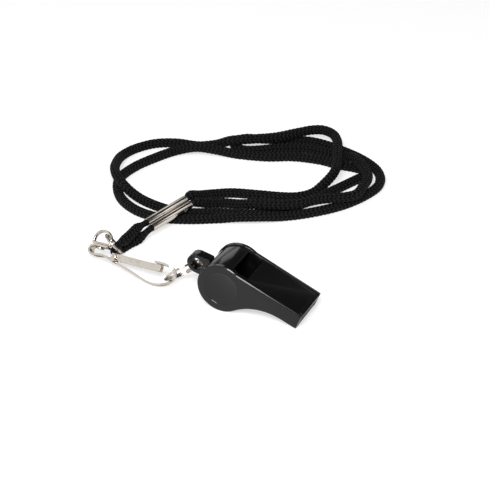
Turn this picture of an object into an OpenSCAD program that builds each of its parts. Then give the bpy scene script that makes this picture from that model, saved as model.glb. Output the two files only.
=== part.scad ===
// Plastic referee's whistle with a pea, on a split ring, a swivel snap hook and a
// knitted neck cord whose two ends are crimped in a double ferrule. Millimetres.
// The whistle and the cord lie on a table at height zero.

/* [Whistle body] */

// outside diameter of the round barrel
barrel_d = 21; // [18:0.5:24]
// overall width across both side plates
body_w = 19.8; // [16:0.2:24]
// barrel axis to the mouth face
mouth_reach = 33.6; // [30:0.2:38]
// height of the mouth end
mouth_h = 6.8; // [6:0.1:8]
// how far the flat deck lies below the top of the barrel
deck_drop = 0.55; // [0.3:0.05:1]
// wall of the barrel
wall = 1.6; // [1.2:0.1:2]
// thickness of each side plate
plate_t = 1.95; // [1.5:0.05:2.4]
// how far the side plates stand proud of the deck and barrel
plate_proud = 0.35; // [0.2:0.05:0.5]
// radius of the hollow under the throat
throat_r = 23; // [18:1:30]
// length of the raised rim at the mouth
rim_l = 1.6; // [1:0.1:2.4]
// diameter of the round recess in each side plate
recess_d = 14.4; // [10:0.2:16]
// depth of that recess
recess_depth = 0.3; // [0.1:0.05:0.5]

/* [Window and windway] */

// barrel axis to the sounding edge
edge_x = 0.8; // [0:0.1:1.5]
// barrel axis to the windway's end of the window
window_end_x = 7.6; // [6.5:0.1:9]
// width of the window and the windway
window_w = 15; // [12:0.2:15.4]
// height of the windway at the mouth
windway_mouth_h = 3.2; // [2:0.1:3.4]
// height of the windway where it blows across the window
windway_end_h = 1.5; // [1:0.1:2]
// plastic above the windway
roof_t = 1.55; // [1.2:0.05:2]
// length of the slope behind the sounding edge
bevel_l = 1.3; // [0.8:0.1:2]
// thickness left at the sounding edge
edge_t = 0.5; // [0.3:0.1:0.8]

/* [Pea] */

// diameter of the pea
pea_d = 9.2; // [7:0.1:10]
// gap between the resting pea and the chamber wall
pea_gap = 0.3; // [0.2:0.05:0.5]

/* [Lug] */

// how far the centre of the lug hole stands off the barrel
lug_stand = 4.4; // [4:0.1:5.5]
// height of the lug hole's centre over the table
lug_height = 14.23; // [13:0.1:15]
// outside diameter of the lug
lug_d = 8.4; // [8:0.1:9]
// diameter of the lug hole
lug_hole_d = 5.4; // [5:0.1:5.6]
// width of the lug across the whistle
lug_w = 4.4; // [4:0.1:5]

/* [Split ring] */

// mean diameter of the split ring
split_d = 16; // [15:0.2:17]
// radial thickness of its wire
split_t = 1; // [0.9:0.05:1.1]
// height of one turn
split_h = 0.8; // [0.7:0.05:1]

/* [Snap hook] */

// length of the snap hook from its swivel housing to its nose
hook_l = 42.7; // [40:0.1:44]
// height of the snap hook from its lowest bend to the top of its housing
hook_h = 9.8; // [9.5:0.1:10.2]
// thickness of the bent strip
strip_t = 0.9; // [0.8:0.05:1]
// width of the strip along the thin back
back_w = 1.2; // [1:0.1:1.3]
// width of the strip at the nose
nose_w = 3.8; // [3.4:0.1:4.2]
// width of the strip round the swivel housing
housing_w = 3.8; // [3.6:0.1:4.2]
// depth of the gate from its outer face to its lips
gate_h = 2.7; // [2.5:0.1:2.8]
// sheet thickness of the gate
gate_t = 0.4; // [0.35:0.05:0.45]
// outside width of the gate
gate_w = 2.5; // [2.4:0.1:2.6]
// diameter of the gate pin
pin_d = 0.9; // [0.85:0.05:1]
// wire of the coil spring round the pin
coil_t = 0.2; // [0.15:0.05:0.2]
// running clearance round pins and posts
run_gap = 0.06; // [0.04:0.01:0.1]
// gap at the sides of moving sheet parts
side_gap = 0.2; // [0.15:0.05:0.3]

/* [Swivel eye] */

// outside width of the eye
eye_w = 9; // [8.6:0.1:9.4]
// thickness of the eye's sheet
eye_t = 0.9; // [0.8:0.05:1]
// width of the eye's strap
eye_strap = 1.6; // [1.4:0.1:2]
// height of the eye above its base
eye_h = 6.4; // [6:0.1:6.8]
// diameter of the swivel post
post_d = 2; // [1.8:0.1:2.2]
// diameter of the swivel rivet's head
rivet_head_d = 3.6; // [3.2:0.1:4]
// thickness of that head
rivet_head_t = 0.6; // [0.5:0.05:0.7]

/* [Link ring] */

// mean diameter of the small link ring
link_d = 9.4; // [9:0.1:10]
// diameter of its wire
link_wire_d = 1.1; // [1:0.05:1.2]

/* [Cord and ferrule] */

// diameter of the knitted neck cord
cord_d = 3.7; // [3.5:0.05:3.8]
// diameter of the cord where the ferrule squeezes it
squeezed_d = 2.7; // [2.6:0.05:2.8]
// height of one strand lying over another
cross_rise = 4.3; // [4.2:0.05:4.5]
// length of the double ferrule
ferrule_l = 24.5; // [22:0.5:26]
// wall of the ferrule
ferrule_wall = 0.35; // [0.3:0.05:0.4]
// distance between its two bores
bore_pitch = 3.1; // [3.05:0.05:3.2]
// depth of the crimp dents
dent_depth = 0.2; // [0.1:0.05:0.25]

/* [Build] */

// which sub-part to build

/* [Hidden] */

black_plastic = [0.07, 0.07, 0.075];
cork_brown = [0.62, 0.45, 0.28];
nickel = [0.8, 0.79, 0.77];
knit_black = [0.05, 0.05, 0.055];

over = 1;
half_share = 0.5;
turn = 360;
quarter = 90;
round_facets = 96;
small_facets = 48;

// where the barrel stands in the part's own frame
whistle_x = 16.36;
whistle_y = -1.35;

barrel_r = barrel_d / 2;
deck_z = barrel_r - deck_drop;
under_z = deck_z - mouth_h;
inner_w = body_w - 2 * plate_t;
chamber_r = barrel_r - wall;
arc_x = sqrt(pow(barrel_r + throat_r, 2) - pow(throat_r - under_z, 2));
arc_z = under_z - throat_r;
tangent_angle = atan2(arc_z, arc_x);
// keeps the hollow's curve from just grazing the barrel
throat_relief = 0.04;
// the whistle rests on its barrel and on the lower edge of its mouth
pitch = atan2(under_z, mouth_reach) + asin(barrel_r / norm([mouth_reach, under_z]));

// the whistle stands so that its lug's hole stays where the split ring passes through it
lug_x = -14.426;
lug_reach = barrel_r + lug_stand;
lug_climb = asin((lug_height - barrel_r) / lug_reach);
lug_angle = turn / 2 + pitch - lug_climb;
axis_x = lug_x + lug_reach * cos(lug_climb);

pea_r = pea_d / 2;
pea_drop = chamber_r - pea_r - pea_gap;

// place and direction of the split ring, from the barrel's foot
split_at = [-21.3, -0.85, 9];
split_lean = 47.5;
split_bearing = 149;
split_start = -130;
split_second_turn = 200;
split_step = 0.05;

// place and direction of the snap hook: x runs from the housing to the nose
hook_at = [-25.7, -0.1, 7.1];
hook_roll = 48;
hook_bearing = -7;
// how far the swivel lies below the nose, and its place as a share of the hook
hook_drop = 2.603;
swivel_share = 0.874;
hook_dip = asin(hook_drop / (swivel_share * hook_l));
hook_turn = [hook_roll, -hook_dip, hook_bearing];
// the cords and the link ring keep to the housing, so they move as the hook grows
laid_run = 37.229;
lead_step = laid_run - swivel_share * hook_l * cos(hook_dip);
lead_move = lead_step * [cos(hook_bearing), sin(hook_bearing), 0];
// middle line of the bent strip as shares of its length and height, from the housing
// round to the nose
strip_shares = [
    [-0.785, 0.244], [-0.843, 0.244], [-0.909, 0.244], [-0.948, 0.1917], [-0.967, 0.1002],
    [-0.972, 0], [-0.96, -0.1002], [-0.932, -0.1612], [-0.89, -0.1612], [-0.831, -0.1307],
    [-0.773, -0.1438], [-0.714, -0.2135], [-0.632, -0.305], [-0.468, -0.4793], [-0.323, -0.6623],
    [-0.222, -0.7538], [-0.129, -0.7451], [-0.061, -0.6623], [-0.009, -0.5316], [0.023, -0.3486],
    [0.028, -0.183], [0.014, -0.0305], [-0.019, 0.0697], [-0.061, 0.122], [-0.112, 0.1525],
    [-0.211, 0.1525]];
strip_line = [for (s = strip_shares) [s[0] * hook_l, s[1] * hook_h]];
strip_steps = 4;
swivel_p = -swivel_share * hook_l;
gate_pivot = [-0.679 * hook_l, -0.5];
gate_back_p = -0.707 * hook_l;
gate_tip_p = -0.136 * hook_l;
gate_top_q = 0.75;
// the gate's walls are cut shallower over the wide end of the strip
gate_step_p = -0.637 * hook_l;
gate_deep_p = -0.616 * hook_l;
gate_back_low_q = -1.35;
ear_reach = 1.1;
ear_low_q = -2.6;
housing_end_p = -0.67 * hook_l;
nose_taper_p = 0.005 * hook_l;
nose_full_p = -0.07 * hook_l;
nose_from_p = -0.234 * hook_l;
nose_reach = 12;
back_start_p = -0.635 * hook_l;
hook_span = 2 * hook_l;

eye_base_gap = 0.1;
housing_top_q = strip_line[0][1] + strip_t / 2;
eye_foot_q = housing_top_q + eye_base_gap;

link_at = [-57.6, 8.1, 7.45];
link_lean = 53;
link_bearing = 42.9;

ferrule_at = [-49.1, 41.2, 6.4];
ferrule_bearing = 74.85;
ferrule_climb = 0.9;
ferrule_roll = 30;
bore_gap = 0.05;
bore_r = squeezed_d / 2 + bore_gap;
lobe_r = bore_r + ferrule_wall;
dent_places = [0.1, 0.76];
dent_turn = 25;
dent_r = 1.2;

cord_r = cord_d / 2;
squeezed_r = squeezed_d / 2;
cord_sides = 8;
gap_steps = 4;
gap_skip = 9;
loop_skip = 20;
// route points at each end where a cord is squeezed into the ferrule
cord_ends = 2;
loop_ends = 3;

// the neck cord's route as it lies: across, away, and its lift as a share of a crossing
cord_route = [
    [-47.6, 51.9, 1.29], [-47.1, 53.8, 1.29], [-46.5, 57.3, 1.31], [-45.2, 63, 0.7], [-42, 71, 0.05],
    [-35, 75.5, 0],
    [-24, 78.5, 0], [-14, 81, 0], [-7.5, 84, 0], [-3, 90, 0], [0, 97, 0.55],
    [1, 104, 0.95], [-1, 112, 1.02], [-5, 122, 1.16], [-8.5, 130, 1.1], [-13, 136, 1],
    [-18.5, 138, 1], [-23.5, 136, 1], [-29, 130.5, 1], [-36, 123, 1], [-45, 116.5, 1.05],
    [-53, 112.5, 0.95], [-60, 111.5, 0.25], [-68, 108.5, 0], [-78, 107, 0], [-87, 102.5, 0],
    [-93, 94.5, 0], [-95, 86, 0.1], [-93, 77, 0.5], [-89.5, 68.5, 0.9], [-85, 62, 1.05],
    [-79.5, 57, 0.95], [-73, 55, 0.3], [-65, 53, 0], [-54, 51, 0], [-44.5, 52.3, 0],
    [-32.5, 57.5, 0], [-21.5, 61.3, 0], [-13, 66.5, 0], [-6, 75, 0], [0, 85.5, 0],
    [9.5, 107.5, 0], [11.5, 112.5, 0], [10, 116.5, 0], [5.5, 118, 0],
    [-3, 117.6, 0], [-12, 118.4, 0], [-24, 116.5, 0], [-35, 111.5, 0], [-48, 108.5, 0],
    [-59, 106.5, 0.25], [-67, 104, 0.4], [-75, 100, 0.05], [-81, 90, 0], [-85.5, 78.5, 0],
    [-86.5, 67, 0], [-82, 57, 0], [-75, 49.5, 0], [-65, 44.5, 0], [-54, 43.5, 0],
    [-43, 47, 0], [-33, 52, 0], [-24, 55.5, 0.25], [-15, 59.5, 0.3], [-5, 67, 0],
    [5, 75.5, 0], [13.5, 86, 0], [19, 98, 0], [20.5, 108.5, 0], [16, 118.5, 0],
    [6, 126, 0], [-8, 131, 0], [-22, 133, 0], [-35, 129, 0], [-46, 125.5, 0],
    [-51.5, 123.5, 0], [-54.5, 119.5, 0], [-52.5, 115, 0], [-47, 113.3, 0], [-41, 116, 0],
    [-32, 122, 0], [-21, 126, 0], [-9, 126, 0], [-3.2, 124.2, 0.1], [1.5, 121.3, 0.7], [5.5, 118, 1.05],
    [12, 112, 1.05], [16.5, 105, 1], [17.5, 97, 1], [17.5, 89.5, 1], [13.5, 84.5, 1],
    [5, 79, 1], [-3, 71, 1], [-12, 66, 1], [-19, 64, 0.98], [-27, 65, 0.4],
    [-35, 65, 0.1], [-40, 60.6, 0.35], [-42.9, 56.2, 0.85], [-44.5, 53.1, 0.92],
    [-45, 51.2, 0.92]];

// points of the small loop where it is pressed thinner round the link ring
bight_from = 6;
bight_to = 9;
bight_r = 1.5;

// the small loop's route from the ferrule round the link ring and back, with real heights
loop_route = [
    [-53.2, 31.3, 7], [-53.7, 29.4, 7], [-54.3, 27.1, 7.1], [-55, 23.8, 7.1], [-55.3, 19, 6.8],
    [-55.7, 14.2, 6.6], [-56.3, 10.8, 6.5], [-57.3, 8.5, 5.2], [-58.1, 8.6, 3.3],
    [-58.3, 10.8, 1.9], [-57.4, 14.5, 1.9], [-56.3, 19, 1.9], [-54.3, 23.3, 2.3],
    [-51.9, 26.6, 4.7], [-51.1, 28.8, 5.3],
    [-50.6, 30.6, 5.4]];
loop_up = [1, -0.1, 0.1];

// one step of the smooth curve through four neighbouring points
function blend_at(p0, p1, p2, p3, t) =
    0.5 * ((2 * p1) + (p2 - p0) * t + (2 * p0 - 5 * p1 + 4 * p2 - p3) * t * t
    + (3 * p1 - p0 - 3 * p2 + p3) * t * t * t);

// a smooth curve through the points, with a number of steps between each two
function smooth_line(points, steps) =
    let (last = len(points) - 1)
    [for (i = [0:last - 1], k = [0:steps - 1])
        blend_at(points[max(i - 1, 0)], points[i], points[i + 1], points[min(i + 2, last)],
                 k / steps),
     points[last]];

function unit(v) = v / norm(v);

// direction of the line at one of its points
function heading(points, i) =
    unit(points[min(i + 1, len(points) - 1)] - points[max(i - 1, 0)]);

// corners of one ring of a tube
function ring_points(centre, along, up, radius, sides) =
    let (side = unit(cross(up, along)), rise = cross(along, side))
    [for (k = [0:sides - 1])
        centre + radius * (cos(turn * k / sides) * side + sin(turn * k / sides) * rise)];

// faces of a tube with closed ends, all triangles
function tube_faces(rings, sides) = concat(
    [for (k = [1:sides - 2]) [0, k, k + 1]],
    [for (i = [0:rings - 2], k = [0:sides - 1])
        [i * sides + k, (i + 1) * sides + k, i * sides + (k + 1) % sides]],
    [for (i = [0:rings - 2], k = [0:sides - 1])
        [i * sides + (k + 1) % sides, (i + 1) * sides + k, (i + 1) * sides + (k + 1) % sides]],
    [for (k = [1:sides - 2])
        [(rings - 1) * sides, (rings - 1) * sides + k + 1, (rings - 1) * sides + k]]);

// a tube along a line, with a radius for each point and a fixed upward direction
module tube(line, radii, up, sides) {
    corners = [for (i = [0:len(line) - 1])
        each ring_points(line[i], heading(line, i), up, radii[i], sides)];
    polyhedron(points = corners, faces = tube_faces(len(line), sides), convexity = 10);
}

// least distance between stretches of a line that are farther apart along it than `skip` steps
function least_gap(line, skip) =
    min([for (i = [0:len(line) - 1 - skip], j = [i + skip:len(line) - 1]) norm(line[i] - line[j])]);

// the line without a number of points at each end
function trimmed(points, ends) = [for (i = [ends:len(points) - 1 - ends]) points[i]];

function straight_line(points, steps) = [
    for (i = [0:len(points) - 2], k = [0:steps - 1])
        points[i] + (points[i + 1] - points[i]) * k / steps,
    points[len(points) - 1]];

function line_length(points) =
    [for (i = [1:len(points) - 1]) norm(points[i] - points[i - 1])]
    * [for (i = [1:len(points) - 1]) 1];

cord_line = [for (p = cord_route) lead_move + [p[0], p[1], cord_r + cross_rise * p[2]]];
loop_line = [for (p = loop_route) lead_move + p];
cord_radii = [for (i = [0:len(cord_line) - 1])
    i < cord_ends || i > len(cord_line) - 1 - cord_ends ? squeezed_r : cord_r];
loop_radii = [for (i = [0:len(loop_route) - 1])
    i < loop_ends || i > len(loop_route) - 1 - loop_ends ? squeezed_r
    : (i >= bight_from && i <= bight_to ? bight_r : cord_r)];

echo(neck_cord_length = line_length(cord_line));
echo(end_loop_length = line_length(loop_line));
echo(neck_cord_self_gap =
    least_gap(straight_line(trimmed(cord_line, cord_ends), gap_steps), gap_skip) - cord_d);
echo(end_loop_self_gap =
    least_gap(straight_line(trimmed(loop_line, loop_ends), gap_steps), loop_skip) - cord_d);

// puts what was drawn about the barrel's axis where the whistle lies
module at_whistle() {
    translate([axis_x, 0, barrel_r])
        rotate([0, pitch, 0])
            children();
}

// thickens a drawing of the whistle's side view across its width
module across(width) {
    rotate([quarter, 0, 0])
        translate([0, 0, -width / 2])
            linear_extrude(width)
                children();
}

// the whistle's side view as a solid of some width, smaller all round by the inset
module side_solid(width, inset) {
    r = barrel_r - inset;
    foot_r = r - throat_relief;
    difference() {
        union() {
            across(width)
                circle(r = r, $fn = round_facets);
            across(width)
                polygon([[0, 0], [0, deck_z - inset], [mouth_reach, deck_z - inset],
                         [mouth_reach, under_z + inset], [arc_x, under_z + inset],
                         [foot_r * cos(tangent_angle), foot_r * sin(tangent_angle)]]);
        }
        across(width + 2 * over)
            translate([arc_x, arc_z])
                circle(r = throat_r + inset - throat_relief, $fn = round_facets);
    }
}

module lug_view() {
    difference() {
        union() {
            translate([lug_reach, 0])
                circle(d = lug_d, $fn = small_facets);
            translate([chamber_r + wall / 2, -lug_d / 2])
                square([lug_reach - chamber_r - wall / 2, lug_d]);
        }
        translate([lug_reach, 0])
            circle(d = lug_hole_d, $fn = small_facets);
        circle(r = chamber_r + wall / 4, $fn = round_facets);
    }
}

module windway_view() {
    ceiling = deck_z - roof_t;
    polygon([[window_end_x - over, ceiling], [mouth_reach + over, ceiling],
             [mouth_reach + over, ceiling - windway_mouth_h],
             [mouth_reach, ceiling - windway_mouth_h],
             [window_end_x, ceiling - windway_end_h],
             [window_end_x - over, ceiling - windway_end_h]]);
}

module window_view() {
    polygon([[edge_x, deck_z / 2], [edge_x, chamber_r + edge_t - plate_proud],
             [edge_x - bevel_l, barrel_r + over], [window_end_x, barrel_r + over],
             [window_end_x, deck_z / 2]]);
}

module barrel_body() {
    color(black_plastic)
        at_whistle() {
            difference() {
                union() {
                    side_solid(inner_w, plate_proud);
                    intersection() {
                        side_solid(inner_w, 0);
                        across(body_w)
                            translate([mouth_reach - rim_l, -barrel_r])
                                square([rim_l, barrel_d]);
                    }
                }
                across(body_w)
                    circle(r = chamber_r, $fn = round_facets);
                across(window_w)
                    window_view();
                across(window_w)
                    windway_view();
            }
            across(lug_w)
                rotate(lug_angle)
                    lug_view();
        }
}

// one side plate; side is -1 for the near one and 1 for the far one
module side_plate(side) {
    middle = side * (body_w - plate_t) / 2;
    face = side * (body_w - recess_depth + over) / 2;
    color(black_plastic)
        at_whistle()
            difference() {
                translate([0, middle, 0])
                    side_solid(plate_t, 0);
                translate([0, face, 0])
                    across(recess_depth + over)
                        circle(d = recess_d, $fn = round_facets);
            }
}

module near_side_plate() {
    side_plate(-1);
}

module far_side_plate() {
    side_plate(1);
}

module pea() {
    color(cork_brown)
        translate([axis_x, 0, barrel_r - pea_drop])
            sphere(r = pea_r, $fn = small_facets);
}

// part of a turn of the split ring's wire, drawn smaller by the inset
module split_turn(angle, inset) {
    rotate_extrude(angle = angle, $fn = round_facets)
        translate([(split_d - split_t) / 2 + inset, -split_h])
            square([split_t - 2 * inset, 2 * split_h]);
}

module split_ring() {
    color(nickel)
        translate(split_at)
            rotate([0, split_lean, split_bearing]) {
                rotate_extrude($fn = round_facets)
                    translate([(split_d - split_t) / 2, -split_h])
                        square([split_t, split_h]);
                rotate(split_start)
                    split_turn(split_second_turn, split_step);
            }
}

module at_hook() {
    translate(hook_at)
        rotate(hook_turn)
            children();
}

// outline of the bent strip: its middle line offset to both sides
function strip_outline(line, t) = let (last = len(line) - 1, half = t / 2) concat(
    [for (i = [0:last]) let (h = heading(line, i)) line[i] + half * [-h[1], h[0]]],
    [for (i = [last:-1:0]) let (h = heading(line, i)) line[i] - half * [-h[1], h[0]]]);

// plan view of the strip, which is wide at the housing and the nose and thin between
module strip_plan() {
    polygon([[-hook_span, -housing_w / 2], [housing_end_p, -housing_w / 2],
             [back_start_p, -back_w / 2], [hook_span, -back_w / 2],
             [hook_span, back_w / 2], [back_start_p, back_w / 2],
             [housing_end_p, housing_w / 2], [-hook_span, housing_w / 2]]);
}

// wide part of the nose, above the back of the hook
module nose_plan() {
    polygon([[-hook_span, -nose_w / 2], [nose_full_p, -nose_w / 2],
             [nose_taper_p, -back_w / 2], [hook_span, -back_w / 2],
             [hook_span, back_w / 2], [nose_taper_p, back_w / 2],
             [nose_full_p, nose_w / 2], [-hook_span, nose_w / 2]]);
}

module strip_solid(width) {
    translate([0, 0, -width / 2])
        linear_extrude(width)
            polygon(strip_outline(smooth_line(strip_line, strip_steps), strip_t));
}

// plan drawing turned to cut through the hook from its back to its gate
module through_plan() {
    rotate([quarter, 0, 0])
        translate([0, 0, -hook_span / 2])
            linear_extrude(hook_span)
                children();
}

module nose_block() {
    intersection() {
        strip_solid(nose_w);
        through_plan()
            nose_plan();
        translate([nose_from_p, -over, -nose_w])
            cube([nose_reach, nose_w, 2 * nose_w]);
    }
}

module gate_ears() {
    ear_t = (housing_w - gate_w) / 2 - side_gap;
    for (side = [-1, 1])
        translate([gate_pivot[0], 0, side * (housing_w - ear_t) / 2 - ear_t / 2])
            linear_extrude(ear_t) {
                translate([-ear_reach, ear_low_q])
                    square([2 * ear_reach, gate_pivot[1] - ear_low_q]);
                translate([0, gate_pivot[1]])
                    circle(r = ear_reach, $fn = small_facets);
            }
}

module hook_frame() {
    color(nickel)
        at_hook()
            difference() {
                union() {
                    intersection() {
                        strip_solid(housing_w);
                        through_plan()
                            strip_plan();
                    }
                    nose_block();
                    gate_ears();
                }
                translate([swivel_p, 0, 0])
                    rotate([-quarter, 0, 0])
                        cylinder(h = hook_span, d = post_d + 2 * run_gap, $fn = small_facets);
                translate([gate_pivot[0], gate_pivot[1], -housing_w])
                    cylinder(h = 2 * housing_w, d = pin_d, $fn = small_facets);
            }
}

module gate_pin() {
    color(nickel)
        at_hook()
            translate([gate_pivot[0], gate_pivot[1], -housing_w / 2])
                cylinder(h = housing_w, d = pin_d, $fn = small_facets);
}

// side view of the gate
module gate_view() {
    polygon([[gate_back_p, gate_top_q], [gate_tip_p, gate_top_q],
             [gate_tip_p, gate_top_q - gate_h], [gate_deep_p, gate_top_q - gate_h],
             [gate_step_p, gate_back_low_q], [gate_back_p, gate_back_low_q]]);
}

module hook_gate() {
    length = gate_tip_p - gate_back_p;
    color(nickel)
        at_hook()
            difference() {
                translate([0, 0, -gate_w / 2])
                    linear_extrude(gate_w)
                        gate_view();
                translate([gate_back_p - over, gate_top_q - gate_h - over, -gate_w / 2 + gate_t])
                    cube([length + 2 * over, gate_h + over - gate_t, gate_w - 2 * gate_t]);
                translate([gate_pivot[0], gate_pivot[1], -gate_w])
                    cylinder(h = 2 * gate_w, d = pin_d + 2 * run_gap, $fn = small_facets);
            }
}

module gate_spring() {
    inner = pin_d / 2 + run_gap;
    coil_w = gate_w - 2 * gate_t - 2 * side_gap;
    color(nickel)
        at_hook()
            translate([gate_pivot[0], gate_pivot[1], -coil_w / 2])
                difference() {
                    cylinder(h = coil_w, r = inner + coil_t, $fn = small_facets);
                    translate([0, 0, -over])
                        cylinder(h = coil_w + 2 * over, r = inner, $fn = small_facets);
                }
}

module at_swivel() {
    at_hook()
        translate([swivel_p, 0, 0])
            children();
}

module swivel_eye() {
    inner_half = eye_w / 2 - eye_t;
    straight = eye_h - eye_w / 2;
    color(nickel)
        at_swivel()
            translate([0, eye_foot_q, -eye_strap / 2])
                linear_extrude(eye_strap)
                    difference() {
                        union() {
                            translate([0, straight])
                                circle(d = eye_w, $fn = small_facets);
                            translate([-eye_w / 2, 0])
                                square([eye_w, straight]);
                        }
                        intersection() {
                            union() {
                                translate([0, straight])
                                    circle(r = inner_half, $fn = small_facets);
                                translate([-inner_half, 0])
                                    square([2 * inner_half, straight]);
                            }
                            translate([-eye_w, eye_t])
                                square([2 * eye_w, eye_h]);
                        }
                        translate([-eye_w / 2 - over, -eye_w])
                            square([eye_w + 2 * over, eye_w]);
                    }
}

module swivel_rivet() {
    head_q = housing_top_q - strip_t - side_gap - rivet_head_t;
    post_l = eye_foot_q - head_q;
    color(nickel)
        at_swivel()
            translate([0, head_q, 0])
                rotate([-quarter, 0, 0]) {
                    cylinder(h = rivet_head_t, d = rivet_head_d, $fn = small_facets);
                    cylinder(h = post_l, d = post_d, $fn = small_facets);
                }
}

module link_ring() {
    color(nickel)
        translate(link_at + lead_move)
            rotate([0, link_lean, link_bearing])
                rotate_extrude($fn = small_facets)
                    translate([link_d / 2, 0])
                        circle(d = link_wire_d, $fn = small_facets);
}

module ferrule() {
    color(nickel)
        translate(ferrule_at + lead_move)
            rotate([0, -ferrule_climb, ferrule_bearing])
                rotate([ferrule_roll, 0, 0])
                    difference() {
                        rotate([0, quarter, 0])
                            translate([0, 0, -ferrule_l / 2])
                                linear_extrude(ferrule_l)
                                    ferrule_view();
                        for (place = dent_places)
                            translate([(place - half_share) * ferrule_l, -bore_pitch / 2, 0])
                                rotate([-dent_turn, 0, 0])
                                    translate([0, dent_depth - lobe_r - dent_r, -lobe_r])
                                        cylinder(h = 2 * lobe_r, r = dent_r, $fn = small_facets);
                    }
}

// end view of the ferrule: two lobes side by side, each with its bore
module ferrule_view() {
    difference() {
        union() {
            for (side = [-1, 1])
                translate([0, side * bore_pitch / 2])
                    circle(r = lobe_r, $fn = small_facets);
            translate([-lobe_r / 2, -bore_pitch / 2])
                square([lobe_r, bore_pitch]);
        }
        for (side = [-1, 1])
            translate([0, side * bore_pitch / 2])
                circle(r = bore_r, $fn = small_facets);
    }
}

module neck_cord() {
    color(knit_black)
        tube(cord_line, cord_radii, [0, 0, 1], cord_sides);
}

module end_loop() {
    color(knit_black)
        tube(loop_line, loop_radii, loop_up, cord_sides);
}

translate([whistle_x, whistle_y, 0]) {
    barrel_body();
    near_side_plate();
    far_side_plate();
    pea();
    split_ring();
    hook_frame();
    hook_gate();
    gate_pin();
    gate_spring();
    swivel_eye();
    swivel_rivet();
    link_ring();
    ferrule();
    neck_cord();
    end_loop();
}
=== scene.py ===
"""Looks of a black pea whistle with its split ring, snap hook and knitted neck cord."""

import logging
import math
from dataclasses import dataclass, field
from enum import Enum
from functools import cache
from typing import Callable, Sequence

import bpy
from mathutils import Matrix, Vector


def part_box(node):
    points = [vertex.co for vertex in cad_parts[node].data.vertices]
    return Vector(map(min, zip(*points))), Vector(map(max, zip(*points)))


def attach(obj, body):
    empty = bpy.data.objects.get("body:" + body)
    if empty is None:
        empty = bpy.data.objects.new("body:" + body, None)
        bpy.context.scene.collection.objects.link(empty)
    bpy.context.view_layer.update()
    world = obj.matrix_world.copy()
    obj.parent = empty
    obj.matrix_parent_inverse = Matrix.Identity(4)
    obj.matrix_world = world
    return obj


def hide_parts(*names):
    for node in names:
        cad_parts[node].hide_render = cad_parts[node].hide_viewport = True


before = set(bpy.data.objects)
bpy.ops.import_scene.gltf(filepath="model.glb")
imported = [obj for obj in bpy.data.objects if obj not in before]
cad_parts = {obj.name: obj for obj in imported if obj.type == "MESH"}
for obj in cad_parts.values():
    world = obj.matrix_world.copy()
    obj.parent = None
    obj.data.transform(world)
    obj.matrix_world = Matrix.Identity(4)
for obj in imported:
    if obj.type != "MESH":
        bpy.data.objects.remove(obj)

LOG = logging.getLogger("whistle")
MM = 0.001
TURN = 2 * math.pi
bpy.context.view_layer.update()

# The drum's foot stands here in the shared frame, in millimetres.
DRUM_FOOT = Vector((16.36, -1.35, 0.0))

# Corners nearer than this many metres become one, and facets within this angle one flat face.
MERGE_REACH = 2e-6
FLAT_DEGREES = 0.6

# Edges sharper than this get a rounding or a chamfer.
SHARP_DEGREES = 30.0

# Shading breaks at edges sharper than these, on pressed and moulded pieces and on round ones.
HARD_SHADE_DEGREES = 32.0
SOFT_SHADE_DEGREES = 60.0

# The cord has this many columns of V stitches, and a leg of a V leans by this share of a stitch.
WALES = 5
STITCH_SLANT = 0.7

# Numbers of a mix node's colour inputs and output, whose names its other sockets share.
MIX_FIRST, MIX_SECOND, MIX_RESULT = 6, 7, 2

# The shortest run that a share is worked out of, in metres.
SHORTEST_RUN = 1e-9

Point = tuple[float, float, float]
Colour = tuple[float, float, float]
Pair = tuple[float, float]


def placed(point: Sequence[float]) -> Vector:
    """A point given from the drum's foot in millimetres, in the shared frame in metres."""
    return (Vector(point) + DRUM_FOOT) * MM


def deselect() -> None:
    """Leave object mode with nothing selected."""
    if bpy.context.object and bpy.context.object.mode != "OBJECT":
        bpy.ops.object.mode_set(mode="OBJECT")
    bpy.ops.object.select_all(action="DESELECT")


def pick(piece: bpy.types.Object) -> None:
    """Make one piece the only selected and the active one.

    Args:
        piece: the piece.
    """
    deselect()
    piece.select_set(True)
    bpy.context.view_layer.objects.active = piece


def settle(piece: bpy.types.Object) -> None:
    """Move a piece's place into its mesh, so that its object lies at the origin."""
    pick(piece)
    bpy.ops.object.transform_apply(location=True, rotation=True, scale=True)


def finish_modifiers(piece: bpy.types.Object) -> None:
    """Apply every modifier of a piece in order.

    Args:
        piece: the piece.
    """
    pick(piece)
    for modifier in list(piece.modifiers):
        bpy.ops.object.modifier_apply(modifier=modifier.name)


def smooth(piece: bpy.types.Object, degrees: float = HARD_SHADE_DEGREES) -> None:
    """Shade a piece smooth but for its sharper edges.

    Args:
        piece: the piece.
        degrees: edges sharper than this stay hard.
    """
    pick(piece)
    if piece.data.has_custom_normals:
        bpy.ops.mesh.customdata_custom_splitnormals_clear()
    bpy.ops.object.shade_smooth_by_angle(angle=math.radians(degrees))


def rounded(piece: bpy.types.Object, width: float, segments: int = 3,
            degrees: float = SHARP_DEGREES) -> None:
    """Round a piece's sharp edges.

    Args:
        piece: the mesh to round.
        width: width of the rounding in millimetres.
        segments: facets across it.
        degrees: edges sharper than this are rounded.
    """
    bevel = piece.modifiers.new("rounding", "BEVEL")
    bevel.width = width * MM
    bevel.segments = segments
    bevel.limit_method = "ANGLE"
    bevel.angle_limit = math.radians(degrees)
    bevel.miter_outer = "MITER_ARC"
    bevel.use_clamp_overlap = True
    finish_modifiers(piece)


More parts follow.
